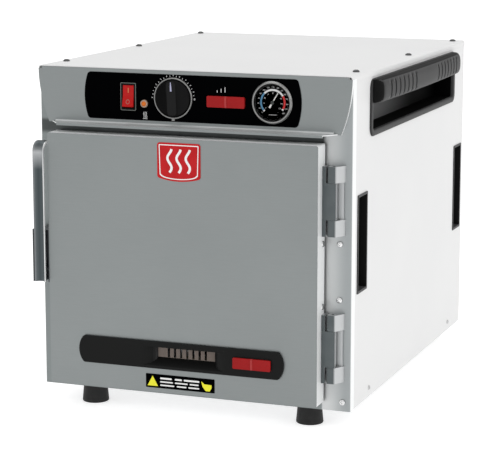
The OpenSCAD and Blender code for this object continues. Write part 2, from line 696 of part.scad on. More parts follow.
module door_gasket() color(dark) placed() translate([0, 0, cavity_mid]) difference() {
    along_y([door_back + sheet + 0.02, -0.5]) polygon(rounded(cavity_w + 34, cavity_h + 32, 12));
    along_y([door_back, 1]) polygon(rounded(cavity_w + 10, cavity_h + 8, 6));
    along_y([door_back + sheet + 1.4, -1.8]) difference() {
        polygon(rounded(cavity_w + 31, cavity_h + 29, 10));
        polygon(rounded(cavity_w + 13, cavity_h + 11, 8));
    }
}

module door_badge() color(red) placed() translate([door_vent_x, 0, 352.5])
    along_y([door_front - 0.8, door_front - 0.02])
    polygon(concat(
        arc([29, 21.5], 4, [0, 90]), arc([-29, 21.5], 4, [90, 180]), arc([-29, -21.5], 4, [180, 255]),
        [for (i = [-4:4]) [6.5 * i, -25.5 - 4 * (1 - pow(i / 4.6, 2))]], arc([29, -21.5], 4, [285, 360])));

module caution_plate() color(black) placed() translate([-6.8, 0, 28.6])
    along_y([door_front - 0.5, door_front - 0.02]) polygon(rounded(107, 20.5, 1, 3));

// The scoop's plan: the mouth narrows through two quarter-round flares to the slatted wall
scoop_mouth = [-71, 68];
scoop_throat = [-45, 44];
scoop_front = -40.2;
scoop_back = -26;
module scoop() intersection() {
    depth = scoop_back - scoop_front;
    along_z([50, 80]) polygon(concat(
        [[scoop_mouth[0], scoop_front - 1]],
        [for (i = [0:8]) [scoop_mouth[0] + (scoop_throat[0] - scoop_mouth[0]) * sin(11.25 * i),
            scoop_front + depth * (1 - cos(11.25 * i))]],
        [for (i = [8:-1:0]) [scoop_mouth[1] + (scoop_throat[1] - scoop_mouth[1]) * sin(11.25 * i),
            scoop_front + depth * (1 - cos(11.25 * i))]],
        [[scoop_mouth[1], scoop_front - 1]]));
    along_x([-80, 80]) polygon([[scoop_front - 2, 52], [scoop_front, 52], [scoop_back, 62.5],
        [scoop_back, 79.5], [scoop_front - 2, 80]]);
}
module slat_gaps(offset_x, y) for (i = [-3:3])
    slab([0.5 + slat_pitch * i + offset_x - slat_gap / 2,
        0.5 + slat_pitch * i + offset_x + slat_gap / 2], y, [63, 77]);
module door_vent() color(black) placed() difference() {
    union() {
        translate([door_vent_x, 0, door_vent_z]) along_y([-39.8, door_front - 0.02])
            polygon(bowed(317, 40, 7.5, 5));
        slab([-73, 70], [door_front - 1, scoop_back + 2.4], [50, 82.5]);
    }
    scoop();
    slat_gaps(0, [scoop_back - 1, scoop_back + 3]);
    slab([door_tab_x - 10, door_tab_x + 10], [-41, door_front + 1], [door_tab_z - 3, door_tab_z + 3]);
}

module door_vent_slider() color(red) placed() {
    slider_tab(door_tab_x, -40.1, door_tab_z);
    slab([door_tab_x - 3, door_tab_x + 3], [-41, -22], [door_tab_z - 2, door_tab_z + 2]);
}
module door_vent_shutter() color(bright) placed() difference() {
    slab([-52, door_tab_x + 8], [-23.2, -22], [58, 80]);
    slat_gaps(0, [-24, -21]);
    slab([door_tab_x - 3.02, door_tab_x + 3.02], [-24, -21], [door_tab_z - 2.02, door_tab_z + 2.02]);
}

module door_screws() color(bright) placed() for (z = door_screw_z)
    facing_right(door_right + 0.02, door_screw_y, z) domed_screw(4.6, 2, 2, 7);

// Latch -------------------------------------------------------------------------------------

cheek = 1.8;
module latch_body() color(dark) placed() difference() {
    union() {
        slab([latch_x - body_half, latch_x + body_half], [-36, -6], latch_z);
        slab([latch_x - 7, latch_x + 7], [-6.1, -2], [198, 230]);
    }
    slab([latch_x - body_half + cheek, latch_x + body_half - cheek], [-37, -9],
        [latch_z[0] - 1, latch_z[1] - 3]);
    rod_x(2.52, [latch_x - body_half - 1, latch_x + body_half + 1], pivot_y, pivot_z);
    rod_y(3.05, latch_x, [-10, -5], pivot_z - 13);
}

module latch_pin() color(bright) placed()
    rod_x(2.5, [latch_x - body_half + 0.2, latch_x + body_half - 0.2], pivot_y, pivot_z);

lever_w = 19;
module latch_lever() color(bright) placed() {
    x = [latch_x - lever_w / 2 + 1.5, latch_x + lever_w / 2 + 1.5];
    bend = lever_z[1] - 16;
    along_x(x) polygon(concat(
        [[lever_front + 1, lever_z[0]], [lever_front, lever_z[0] + 1]],
        arc([lever_front + 16, bend], 16, [180, 90], 10), arc([lever_front + 16, bend], 11, [90, 180], 10),
        [[lever_front + 5, lever_z[0]]]));
    difference() {
        union() {
            rod_x(6, [latch_x - 8, latch_x + 8], pivot_y, pivot_z);
            slab([latch_x - 8, latch_x + 8], [lever_front + 4, pivot_y], [pivot_z - 6, pivot_z + 6]);
            slab([latch_x - 6, latch_x + 6], [lever_front + 4, pivot_y + 11], [pivot_z - 16, pivot_z - 11]);
            rod_x(3, [latch_x - 6, latch_x + 6], pivot_y + 11, pivot_z - 13);
        }
        rod_x(2.56, [latch_x - 20, latch_x + 20], pivot_y, pivot_z);
    }
}

module latch_plunger() color(bright) placed() rod_y(3, latch_x, [-13.6, -5.9], pivot_z - 13);

module latch_strike() color(bright) placed()
    slab([latch_x - 10, latch_x + 10], [-1.5, -0.02], [latch_z[0], latch_z[1] - 6]);

// Power inlet -------------------------------------------------------------------------------

inlet_x = 175;
inlet_z = 434;
module power_inlet() color(black) placed() difference() {
    union() {
        translate([inlet_x, 0, inlet_z]) along_y([body_d + 0.02, body_d + back_reach])
            polygon(rounded(56, 33, 3));
        slab([inlet_x - 23.5, inlet_x + 23.5], [body_d - 26, body_d + 1], [inlet_z - 12.5, inlet_z + 12.5]);
    }
    difference() {
        slab([inlet_x - 12, inlet_x + 12], [body_d - 18, body_d + 5], [inlet_z - 8, inlet_z + 8]);
        for (p = [[-7, -1.5], [0, 2.5], [7, -1.5]])
            slab([inlet_x + p[0] - 1, inlet_x + p[0] + 1], [body_d - 19, body_d - 3],
                [inlet_z + p[1] - 2, inlet_z + p[1] + 2]);
    }
}

side_panel_left();
side_panel_right();
back_panel();
base_pan();
top_cover();
front_frame();
console_panel();
console_overlay();
cavity_liner();
insulation();
control_shelf();
pan_slide_left();
pan_slide_right();
rear_baffle();
heater_element();
fan_motor();
fan_wheel();
switch_housing();
power_rocker();
indicator_bezel();
indicator_lens();
dial_ring();
thermostat();
thermostat_knob();
gauge_case();
gauge_glass();
gauge_needle();
vent_duct();
console_vent_slider();
console_vent_damper();
grip_left();
grip_right();
side_pockets_left();
side_pockets_right();
feet();
foot_studs();
casing_screws();
hinge_screws();
hinge_base_upper();
hinge_base_lower();
hinge_pins();
latch_strike();
power_inlet();
door_skin();
door_liner();
door_insulation();
door_gasket();
door_badge();
caution_plate();
door_vent();
door_vent_slider();
door_vent_shutter();
hinge_leaf_upper();
hinge_leaf_lower();
door_screws();
latch_body();
latch_pin();
latch_lever();
latch_plunger();
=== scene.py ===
"""A countertop food holding cabinet: steel casing, insulated door, console, vents, latch and grips."""

import math

import bmesh
import bpy
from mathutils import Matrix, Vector


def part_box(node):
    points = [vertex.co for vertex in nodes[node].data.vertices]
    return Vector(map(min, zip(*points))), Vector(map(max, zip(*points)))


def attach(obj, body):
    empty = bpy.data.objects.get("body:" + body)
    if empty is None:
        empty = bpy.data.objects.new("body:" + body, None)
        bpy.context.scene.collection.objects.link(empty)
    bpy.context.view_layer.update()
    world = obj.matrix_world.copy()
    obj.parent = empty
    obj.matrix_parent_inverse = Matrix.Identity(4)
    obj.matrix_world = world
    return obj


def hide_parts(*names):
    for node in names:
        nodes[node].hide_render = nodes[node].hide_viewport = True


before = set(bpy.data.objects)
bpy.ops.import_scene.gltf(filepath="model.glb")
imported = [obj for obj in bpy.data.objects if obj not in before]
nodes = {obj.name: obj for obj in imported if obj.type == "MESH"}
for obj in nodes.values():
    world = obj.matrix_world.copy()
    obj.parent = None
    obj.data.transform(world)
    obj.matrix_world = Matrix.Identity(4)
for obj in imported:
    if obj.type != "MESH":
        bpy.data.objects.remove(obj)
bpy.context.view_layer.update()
scene = bpy.context.scene

# ---- Studio -------------------------------------------------------------------------------
# The cabinet stands on a pale opal floor that is lit faintly from below. A soft sky is brightest
# above and on the hinge side, and two large soft panels add the highlights.


class Paint:
    """One socket of a node tree, used as a value in Python sums."""

    def __init__(self, tree, socket=None):
        self.tree = tree
        self.socket = socket

    def make(self, kind, inputs=(), output=0, stops=None, **settings):
        """Adds a node of any kind: its settings, ramp stops, then the values or links of its sockets."""
        node = self.tree.nodes.new(kind)
        for name, value in settings.items():
            setattr(node, name, value)
        if stops:
            ramp = node.color_ramp.elements
            while len(ramp) < len(stops):
                ramp.new(1.0)
            for element, (place, shade) in zip(ramp, stops):
                element.position = place
                element.color = (*shade, 1.0) if len(shade) == 3 else shade
        for name, value in dict(inputs).items():
            if isinstance(value, Paint):
                self.tree.links.new(value.socket, node.inputs[name])
            else:
                node.inputs[name].default_value = value
        return Paint(self.tree, node.outputs[output])

    def sum(self, operation, *values):
        return self.make("ShaderNodeMath", dict(enumerate(values)), operation=operation)

    def __add__(self, other):
        return self.sum("ADD", self, other)

    def __sub__(self, other):
        return self.sum("SUBTRACT", self, other)

    def __rsub__(self, other):
        return self.sum("SUBTRACT", other, self)

    def __mul__(self, other):
        return self.sum("MULTIPLY", self, other)

    __radd__ = __add__
    __rmul__ = __mul__

    def between(self, low, high):
        """0 below low, 1 above high and a smooth step between them."""
        return self.make("ShaderNodeMapRange", {"Value": self, "From Min": low, "From Max": high},
                         interpolation_type="SMOOTHSTEP")

    def mix(self, first, second):
        """first where this value is 0 and second where it is 1."""
        node = self.tree.nodes.new("ShaderNodeMix")
        node.data_type = "RGBA"
        for index, value in ((0, self), (6, first), (7, second)):
            if isinstance(value, Paint):
                self.tree.links.new(value.socket, node.inputs[index])
            else:
                node.inputs[index].default_value = (*value, 1.0)
        return Paint(self.tree, node.outputs[2])

    def place(self, stretch=(1, 1, 1)):
        """The point on the piece, in metres, with each axis scaled."""
        coordinates = self.make("ShaderNodeTexCoord", output="Object")
        return self.make("ShaderNodeVectorMath", {0: coordinates, 1: stretch}, operation="MULTIPLY")

    def facing(self, name):
        """1 on faces that look along the named axis, either way, and 0 on faces square to them."""
        turned = self.make("ShaderNodeTexCoord", output="Normal").axis(name)
        return (turned * turned).between(0.35, 0.85)

    def axis(self, name):
        return self.make("ShaderNodeSeparateXYZ", {"Vector": self}, output=name)

    def grain(self, size, stretch=(1, 1, 1), detail=3.0, rough=0.55):
        """Noise from 0 to 1 whose features are about size metres across."""
        return self.make("ShaderNodeTexNoise", {"Vector": self.place(stretch), "Scale": 1 / size,
                                                "Detail": detail, "Roughness": rough})

    def bump(self, height, depth, strength=1.0):
        return self.make("ShaderNodeBump", {"Height": height, "Distance": depth, "Strength": strength})


def finish(name, recipe=None, **fixed):
    """A Principled material: fixed values go on its sockets and recipe gives what varies."""
    material = bpy.data.materials.new(name)
    material.use_nodes = True
    tree = material.node_tree
    shader = tree.nodes["Principled BSDF"]
    for key, value in fixed.items():
        shader.inputs[key.replace("_", " ")].default_value = value
    for key, paint in (recipe(Paint(tree)) if recipe else {}).items():
        tree.links.new(paint.socket, shader.inputs[key])
    return material


def studio_floor():
    size = 40
    bm = bmesh.new()
    bmesh.ops.create_grid(bm, x_segments=8, y_segments=8, size=size)
    mesh = bpy.data.meshes.new("studio_floor")
    bm.to_mesh(mesh)
    bm.free()
    floor = bpy.data.objects.new("studio_floor", mesh)
    scene.collection.objects.link(floor)
    mesh.materials.append(finish("floor_glass", lambda p: {
        "Base Color": p.grain(0.4).mix((0.60, 0.60, 0.60), (0.62, 0.62, 0.62))},
        Roughness=0.9, Emission_Color=(1, 1, 1, 1), Emission_Strength=0.62))


studio_floor()

world = bpy.data.worlds.new("studio_sky")
scene.world = world
world.use_nodes = True
sky = Paint(world.node_tree)
toward = sky.make("ShaderNodeTexCoord", output="Generated")
brightest = (0.45, 0.40, 0.80)
facing = sky.make("ShaderNodeVectorMath", {0: toward, 1: brightest}, operation="DOT_PRODUCT", output="Value")
glow = facing.between(-0.75, 0.75)
backdrop = world.node_tree.nodes["Background"]
world.node_tree.links.new(glow.mix((0.80, 0.81, 0.82), (1.12, 1.12, 1.12)).socket, backdrop.inputs["Color"])
backdrop.inputs["Strength"].default_value = 0.86


def soft_panel(name, place, aim, size, watts):
    light = bpy.data.lights.new(name, "AREA")
    light.shape = "RECTANGLE"
    light.size, light.size_y = size
    light.energy = watts
    panel = bpy.data.objects.new(name, light)
    panel.location = place
    panel.rotation_euler = (Vector(aim) - Vector(place)).to_track_quat("-Z", "Y").to_euler()
    scene.collection.objects.link(panel)


soft_panel("panel_right", (3.4, -0.6, 2.2), (0.1, 0, 0.3), (2.6, 2.2), 12)
soft_panel("panel_top", (-0.6, 0.4, 3.2), (0, 0, 0.4), (2.4, 2.4), 16)

# The camera stands to the right of the door, a little above the console, with a long lens.
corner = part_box("front_frame")[0]
camera_tilt, camera_turn = 10.389, 20.493
eye = bpy.data.cameras.new("eye")
eye.sensor_width = 36
eye.lens = 139.8
eye.clip_end = 200
camera = bpy.data.objects.new("eye", eye)
camera.location = (1.0384, corner.y - 2.5445, corner.z + 0.7571)
camera.rotation_euler = (math.radians(90 - camera_tilt), 0, math.radians(camera_turn))
scene.collection.objects.link(camera)
scene.camera = camera
scene.view_settings.view_transform = "Standard"

# ---- Front metalwork ----------------------------------------------------------------------
# The front frame, the console panel and the door's skin are pressed from one satin sheet with a
# very fine grain, folded at the edges. Handling leaves the faintest clouding on it. The folded
# edges and the other faces that do not look forward get a painted highlight.

MM = 0.001


def coat(material, *names):
    """Gives CAD nodes a finish on their own material slots."""
    for name in names:
        for slot in nodes[name].material_slots:
            slot.material = material


def soften(width, *names, segments=2):
    """Takes the sharpness off a CAD node's edges, as folding or moulding does."""
    for name in names:
        modifier = nodes[name].modifiers.new("edge", "BEVEL")
        modifier.width = width * MM
        modifier.segments = segments
        modifier.limit_method = "ANGLE"
        modifier.angle_limit = math.radians(40)
        modifier.use_clamp_overlap = True
        modifier.harden_normals = False


ledge_height = 0.390


def satin_painted_light(front):
    """Satin sheet with a painted highlight on its edges, dimmer on the console's ledge.

    front gives the colour of the flat faces that look forward.
    """
    def recipe(p):
        streaks = p.grain(0.0006, (0.03, 1, 1), 2.0)
        clouds = p.grain(0.16)
        flat = p.facing("Y")
        tone = (0.5 * streaks + 0.5 * clouds).between(0.3, 0.7)
        high = p.place().axis("Z").between(corner.z + ledge_height, corner.z + ledge_height + 0.002)
        ledge = p.facing("Z") * high
        # Painted highlight on faces that do not look forward, dimmer on up and down faces above the ledge.
        edges = ledge.mix((0.84, 0.85, 0.85), (0.50, 0.51, 0.51))
        return {"Base Color": (flat * (0.98 + 0.02 * tone)).mix(edges, front(p)),
                "Metallic": 0.25 + 0.65 * flat,
                "Roughness": 0.36 + 0.04 * streaks + 0.06 * clouds,
                "Normal": p.bump(streaks, 0.00001, 0.3)}
    return recipe


def plain_grey(p):
    return p.grain(0.3).mix((0.243, 0.262, 0.262), (0.249, 0.266, 0.266))


def frame_grey(p):
    """Beside the hinges the frame is lit off the door's edge, and above the door it is in shade."""
    here = p.place()
    beside = here.axis("X").between(0.202, 0.234).mix((0.58, 0.59, 0.59), (0.33, 0.35, 0.355))
    left = here.axis("X").between(0.196, 0.198).mix((0.22, 0.24, 0.24), beside)
    height = here.axis("Z")
    gap = height.between(0.404, 0.412) * (1 - height.between(0.424, 0.430))
    shade = gap * 0.8 * (1 - here.axis("X").between(0.196, 0.203))
    return shade.mix(left, (0.03, 0.032, 0.032))


coat(finish("satin_metal", satin_painted_light(plain_grey)), "console_panel", "door_skin")
coat(finish("frame_metal", satin_painted_light(frame_grey)), "front_frame")
soften(1.1, "door_skin")
soften(0.6, "console_panel")

# ---- Casing -------------------------------------------------------------------------------
# Side panels, top cover and back panel are thin sheet with a smooth near-white coating, which
# shows a slight orange peel. The folded edges are rounded.


def enamel(p):
    peel = p.grain(0.0035, detail=1.0)
    clouds = p.grain(0.22)
    return {"Base Color": clouds.between(0.3, 0.7).mix((0.69, 0.69, 0.69), (0.71, 0.71, 0.708)),
            "Roughness": 0.42 + 0.1 * clouds,
            "Normal": p.bump(peel, 0.00006, 0.35)}


coat(finish("white_enamel", enamel, Specular_IOR_Level=0.3),
     "side_panel_left", "side_panel_right", "top_cover", "back_panel")

# ---- Inner sheet metal --------------------------------------------------------------------
# The cavity liner, pan slides, baffle, door liner and base pan are bare brushed sheet. The
# brushing runs one way and leaves fine bright and dull lines.


def brushed(p):
    lines = p.grain(0.0009, (1, 0.02, 1), 4.0)
    stains = p.grain(0.09)
    return {"Base Color": lines.between(0.25, 0.75).mix((0.50, 0.51, 0.52), (0.64, 0.65, 0.66)),
            "Roughness": 0.24 + 0.16 * lines + 0.1 * stains,
            "Normal": p.bump(lines, 0.00004, 0.5)}


coat(finish("brushed_sheet", brushed, Metallic=1.0), "base_pan", "cavity_liner", "control_shelf",
     "pan_slide_left", "pan_slide_right", "rear_baffle", "fan_wheel", "vent_duct", "console_vent_damper",
     "door_liner", "door_vent_shutter")

# ---- Insulation ---------------------------------------------------------------------------
# Slabs of mineral wool fill the walls and the door. They are yellowish, fibrous and uneven.


def fibrous(p):
    fibre = p.grain(0.0022, (1, 4, 1), 6.0, 0.7)
    return {"Base Color": fibre.between(0.3, 0.7).mix((0.42, 0.34, 0.16), (0.78, 0.68, 0.42)),
            "Normal": p.bump(fibre, 0.0012)}


coat(finish("mineral_wool", fibrous, Roughness=0.95), "insulation", "door_insulation")

# ---- Hidden works -------------------------------------------------------------------------
# The fan motor and the ring heater are dark coated metal, and the thermostat is a brass-coloured
# block with its bulb in the cavity.


def dark_coat(p):
    mottle = p.grain(0.004)
    return {"Base Color": mottle.mix((0.03, 0.032, 0.035), (0.06, 0.06, 0.063)),
            "Roughness": 0.4 + 0.2 * mottle}


def tarnish(p):
    spots = p.grain(0.006)
    return {"Base Color": spots.between(0.35, 0.65).mix((0.62, 0.45, 0.18), (0.48, 0.34, 0.14)),
            "Roughness": 0.28 + 0.2 * spots}


coat(finish("dark_coating", dark_coat, Metallic=0.3), "fan_motor", "heater_element")
coat(finish("thermostat_brass", tarnish, Metallic=1.0), "thermostat")

# ---- Bright fittings ----------------------------------------------------------------------
# Screws, pins, the lamp's bezel, the ring around the dial and the gauge's case are plated.
# The plating is bright with fine handling marks. On screws, pins and studs, faces that look
# forward get a painted highlight and faces square to them a painted shade.

console_z = 437.5
gauge = (122.8, console_z)
lip_radius = 26.6


def handling(p):
    """Fine marks drawn out a little up and down."""
    return p.grain(0.0018, (1, 1, 3), 5.0)


def glint_plating(p):
    marks = handling(p)
    # Painted light: faces that look forward get a painted highlight, faces square to them painted shade.
    return {"Base Color": (p.facing("Y") * (0.85 + 0.15 * marks)).mix((0.30, 0.31, 0.31), (0.82, 0.82, 0.82)),
            "Roughness": 0.14 + 0.14 * marks}


def dull_plating(p):
    marks = handling(p)
    return {"Base Color": marks.mix((0.19, 0.19, 0.185), (0.27, 0.27, 0.265)),
            "Roughness": 0.2 + 0.16 * marks}


def off_gauge(p):
    """Distance in metres from the gauge's front-to-back axis."""
    axis = (gauge[0] * MM, 0, corner.z + gauge[1] * MM)
    return p.make("ShaderNodeVectorMath", {0: p.place((1, 0, 1)), 1: axis}, 1, operation="DISTANCE")


def case_plating(p):
    """The ring is plated like the dial's. Inside lip_radius, round the glass, it is near black."""
    marks = handling(p)
    ring = off_gauge(p).between(lip_radius * MM, (lip_radius + 0.4) * MM)
    plated = marks.mix((0.22, 0.22, 0.215), (0.30, 0.30, 0.295))
    return {"Base Color": ring.mix((0.012, 0.012, 0.012), plated), "Roughness": 0.2 + 0.16 * marks}


def warm_plating(p):
    marks = p.grain(0.0018)
    return {"Base Color": marks.mix((0.38, 0.27, 0.20), (0.46, 0.34, 0.26)), "Roughness": 0.3 + 0.1 * marks}


def screw_plating(p):
    """The lid's screws are blackened, and those low in the sides are plated."""
    lid = p.place().axis("Z").between(0.40, 0.45)
    return {"Base Color": lid.mix((0.55, 0.55, 0.55), (0.10, 0.10, 0.10)),
            "Roughness": 0.22 + 0.14 * p.grain(0.0012)}


coat(finish("bright_plating", glint_plating, Metallic=1.0), "hinge_screws", "door_screws", "hinge_pins",
     "foot_studs", "latch_pin", "latch_strike", "latch_plunger")
coat(finish("ring_plating", dull_plating, Metallic=0.9), "dial_ring")
coat(finish("case_plating", case_plating, Metallic=0.9), "gauge_case")
coat(finish("lamp_plating", warm_plating, Metallic=0.6), "indicator_bezel")
coat(finish("screw_plating", screw_plating, Metallic=0.9), "casing_screws")

# ---- Control overlay ----------------------------------------------------------------------
# A black film with bowed ends is stuck on the console panel. White marks are printed on it: a
# scale round the dial, three strokes for the vent slider and a heat sign beside the lamp.


def spot(x, y, z):
    """Millimetres from the foot of the front frame's face, as a point in metres."""
    return Vector((x * MM, corner.y + y * MM, corner.z + z * MM))


def prism(bm, outline, y0, y1):
    """A closed plate with the given (x, z) outline, from y0 back to y1."""
    front = [bm.verts.new(spot(x, y0, z)) for x, z in outline]
    back = [bm.verts.new(spot(x, y1, z)) for x, z in outline]
    bm.faces.new(front)
    bm.faces.new(back[::-1])
    for i in range(len(outline)):
        bm.faces.new((front[i - 1], back[i - 1], back[i], front[i]))


def piece(name, bm, material, body, smooth=35):
    """Turns a built form into a shown piece that rides on a body."""
    bmesh.ops.recalc_face_normals(bm, faces=bm.faces)
    mesh = bpy.data.meshes.new(name)
    bm.to_mesh(mesh)
    bm.free()
    mesh.materials.append(material)
    mesh.shade_smooth()
    mesh.set_sharp_from_angle(angle=math.radians(smooth))
    made = bpy.data.objects.new(name, mesh)
    scene.collection.objects.link(made)
    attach(made, body)
    return made


def on_circle(centre, radius, clock):
    """The (x, z) point at a clock angle in degrees, clockwise from straight up."""
    turn = math.radians(clock)
    return centre[0] + radius * math.sin(turn), centre[1] + radius * math.cos(turn)


def radial_tick(bm, centre, radii, clock, width, y):
    side = math.degrees(width / 2 / radii[1])
    prism(bm, [on_circle(centre, r, clock + s * side) for r, s in
               ((radii[0], -1), (radii[1], -1), (radii[1], 1), (radii[0], 1))], *y)


def stroke(bm, points, width, y):
    """A printed line of constant width through (x, z) points."""
    sides = ([], [])
    for i, point in enumerate(points):
        before, after = points[max(i - 1, 0)], points[min(i + 1, len(points) - 1)]
        along = Vector((after[0] - before[0], after[1] - before[1])).normalized()
        for side, sign in zip(sides, (1, -1)):
            side.append((point[0] - sign * along.y * width / 2, point[1] + sign * along.x * width / 2))
    prism(bm, sides[0] + sides[1][::-1], *y)


size_per_height = 1.4
ink_half = 0.02


def numeral(bm, words, at, height, y, turn=0.0):
    """A printed number, centred at an (x, z) point."""
    letters = bpy.data.curves.new("numeral", "FONT")
    letters.body = words
    letters.size = height * size_per_height
    letters.align_x, letters.align_y = "CENTER", "CENTER"
    letters.extrude = ink_half
    letters.resolution_u = 2
    holder = bpy.data.objects.new("numeral", letters)
    scene.collection.objects.link(holder)
    bpy.context.view_layer.update()
    mesh = bpy.data.meshes.new_from_object(holder)
    lean = math.radians(turn)
    for vertex in mesh.vertices:
        x, z = vertex.co.x, vertex.co.y
        vertex.co = spot(at[0] + x * math.cos(lean) + z * math.sin(lean), y[0] + ink_half - vertex.co.z,
                         at[1] - x * math.sin(lean) + z * math.cos(lean))
    bm.from_mesh(mesh)
    bpy.data.objects.remove(holder)
    bpy.data.curves.remove(letters)
    bpy.data.meshes.remove(mesh)


def film(p):
    texture = p.grain(0.0009, detail=1.0)
    return {"Base Color": texture.mix((0.0006, 0.0007, 0.0009), (0.0012, 0.0013, 0.0016)),
            "Roughness": 0.42 + 0.1 * texture}


def ink(name, shade):
    """Screen ink: nearly even, a little thinner in places."""
    thin = tuple(c * 0.9 for c in shade)
    return finish(name, lambda p: {"Base Color": p.grain(0.0008).between(0.3, 0.7).mix(thin, shade)},
                  Roughness=0.5)


overlay_film = finish("overlay_film", film, Specular_IOR_Level=0.0)
coat(overlay_film, "console_overlay")
white_ink = ink("white_ink", (0.86, 0.86, 0.85))
overlay_y = -5.8
print_y = (overlay_y - 0.06, overlay_y - 0.005)
dial = (-27, console_z)
bm = bmesh.new()
for i in range(21):
    clock = -90 + 9 * i
    if i % 2:
        radial_tick(bm, dial, (30.6, 32.6), clock, 0.55, print_y)
    else:
        numeral(bm, str(i // 2), on_circle(dial, 32.4, clock), 2.3, print_y, clock)
for i in range(3):
    x = 40.2 + 5.9 * i
    stroke(bm, [(x, 448.4 + 0.2 * i), (x, 451.4 + 2.4 * i)], 0.75, print_y)
heat_sign = (-73, 407.5)
for i in range(3):
    x = heat_sign[0] + 2.2 * i
    wave = [(x + 0.5 * math.sin(step * 0.9), heat_sign[1] + 1.1 * step) for step in range(9)]
    stroke(bm, wave, 0.6, print_y)
stroke(bm, [(heat_sign[0] - 1.2, heat_sign[1] - 1.1), (heat_sign[0] + 5.6, heat_sign[1] - 1.1)], 0.6, print_y)
piece("console_print", bm, white_ink, "cabinet")

# ---- Rocker switch ------------------------------------------------------------------------
# A red rocker in a black snap-in housing with a thin grey rim. Its two ends carry a line and a
# ring, moulded in.


def moulded(name, dark, light, rough, **fixed):
    """Injection-moulded plastic with a fine spark-eroded grain."""
    def recipe(p):
        pores = p.grain(0.0006, detail=2.0)
        cast = p.grain(0.05)
        return {"Base Color": cast.between(0.3, 0.7).mix(dark, light),
                "Roughness": rough - 0.06 + 0.12 * pores,
                "Normal": p.bump(pores, 0.00003, 0.4)}
    return finish(name, recipe, **fixed)


def band(bm, outer, inner, y0, y1):
    """A flat closed ring between two outlines of the same number of (x, z) points."""
    loops = [[bm.verts.new(spot(x, y, z)) for x, z in outline]
             for outline, y in ((outer, y0), (inner, y0), (inner, y1), (outer, y1))]
    for i in range(len(outer)):
        for a, b in zip(loops, loops[1:] + loops[:1]):
            bm.faces.new((a[i - 1], a[i], b[i], b[i - 1]))


def rounded(centre, width, height, radius, count=6):
    """A rounded rectangle's (x, z) outline."""
    points = []
    for turn, sx, sz in ((0, 1, 1), (90, -1, 1), (180, -1, -1), (270, 1, -1)):
        cx, cz = centre[0] + sx * (width / 2 - radius), centre[1] + sz * (height / 2 - radius)
        for i in range(count + 1):
            a = math.radians(turn + 90 * i / count)
            points.append((cx + radius * math.cos(a), cz + radius * math.sin(a)))
    return points


coat(moulded("switch_black", (0.003, 0.003, 0.003), (0.005, 0.005, 0.005), 0.4, Specular_IOR_Level=0.08),
     "switch_housing")
coat(moulded("red_plastic", (0.40, 0.006, 0.006), (0.47, 0.009, 0.008), 0.3, Specular_IOR_Level=0.16),
     "power_rocker")


ridge_half, ridge_foot = 0.0004, 0.0022


def slider_red_painted_ridge_highlight(middle):
    """The tab's red, with a painted highlight along the thumb ridge down its middle."""
    def recipe(p):
        along = p.place().axis("X")
        left = along.between(middle - ridge_foot, middle - ridge_half)
        right = along.between(middle + ridge_half, middle + ridge_foot)
        body = p.grain(0.02).mix((0.27, 0.004, 0.005), (0.34, 0.006, 0.007))
        # Painted highlight along the thumb ridge.
        return {"Base Color": (0.35 * (left * (1 - right))).mix(body, (0.62, 0.12, 0.12)),
                "Roughness": 0.3 + 0.1 * p.grain(0.001)}
    return recipe


coat(finish("console_tab_red", slider_red_painted_ridge_highlight(0.0538), Specular_IOR_Level=0.16), "console_vent_slider")
coat(finish("door_tab_red", slider_red_painted_ridge_highlight(0.1053), Specular_IOR_Level=0.16), "door_vent_slider")
soften(0.5, "power_rocker", "console_vent_slider", "door_vent_slider")
switch = (-95.8, console_z)


def rim_grey(p):
    scuffs = p.grain(0.003)
    return {"Base Color": scuffs.mix((0.095, 0.110, 0.095), (0.14, 0.155, 0.14)),
            "Roughness": 0.4 + 0.2 * scuffs}


bm = bmesh.new()
band(bm, rounded(switch, 23.9, 39.8, 1.6), rounded(switch, 22.3, 38.2, 1.0), -8.9, -8.3)
piece("switch_rim", bm, finish("rim_grey", rim_grey), "cabinet")

rocker_tilt = math.radians(8)
rocker_axis = (-2, console_z)


def on_rocker(x, y, z):
    """A point given on the level rocker, moved to where the rocker rests."""
    c, s = math.cos(rocker_tilt), math.sin(rocker_tilt)
    return spot(x, rocker_axis[0] + c * y + s * z, rocker_axis[1] - s * y + c * z)


def tilt_mark(bm, outline):
    """A mark that stands a little proud of one half of the rocker's dished face."""
    loops = []
    for lift in (0.12, -0.25):
        loop = []
        for x, z in outline:
            dished = -6.8 - 1.4 * abs(z) / 15
            loop.append(bm.verts.new(on_rocker(switch[0] + x, dished - lift, z)))
        loops.append(loop)
    bm.faces.new(loops[0])
    bm.faces.new(loops[1][::-1])
    for i in range(len(outline)):
        bm.faces.new((loops[0][i - 1], loops[1][i - 1], loops[1][i], loops[0][i]))


bm = bmesh.new()
tilt_mark(bm, [(-0.7, 4.5), (0.7, 4.5), (0.7, 11.5), (-0.7, 11.5)])
piece("rocker_line", bm, ink("warm_ink", (0.55, 0.16, 0.05)), "rocker")
bm = bmesh.new()
ring_steps = 24
for i in range(ring_steps):
    quad = []
    for radius, step in ((3.0, i), (3.0, i + 1), (2.2, i + 1), (2.2, i)):
        a = 2 * math.pi * step / ring_steps
        quad.append((radius * math.cos(a), -8.5 + radius * 1.15 * math.sin(a)))
    tilt_mark(bm, quad)
bmesh.ops.remove_doubles(bm, verts=bm.verts, dist=1e-6)
piece("rocker_ring", bm, ink("dull_ink", (0.34, 0.13, 0.10)), "rocker")

# ---- Lamp ---------------------------------------------------------------------------------
# A small amber lens in a plated bezel glows faintly. Ribs inside the lens scatter the light.


def amber_glass(p):
    ribs = p.grain(0.0016, detail=1.0)
    shade = ribs.mix((0.50, 0.11, 0.010), (0.62, 0.16, 0.02))
    return {"Base Color": shade, "Emission Color": shade}


coat(finish("amber_lens", amber_glass, Roughness=0.2, Emission_Strength=0.12, Specular_IOR_Level=0.2),
     "indicator_lens")

# ---- Thermostat knob ----------------------------------------------------------------------
# A black moulded knob: a shallow disc crossed by a low flat bar that flares out into the disc. A
# pale pointer that narrows towards the scale is let into the bar's upper end.

bar_back, bar_rise = -9.6, 4.2


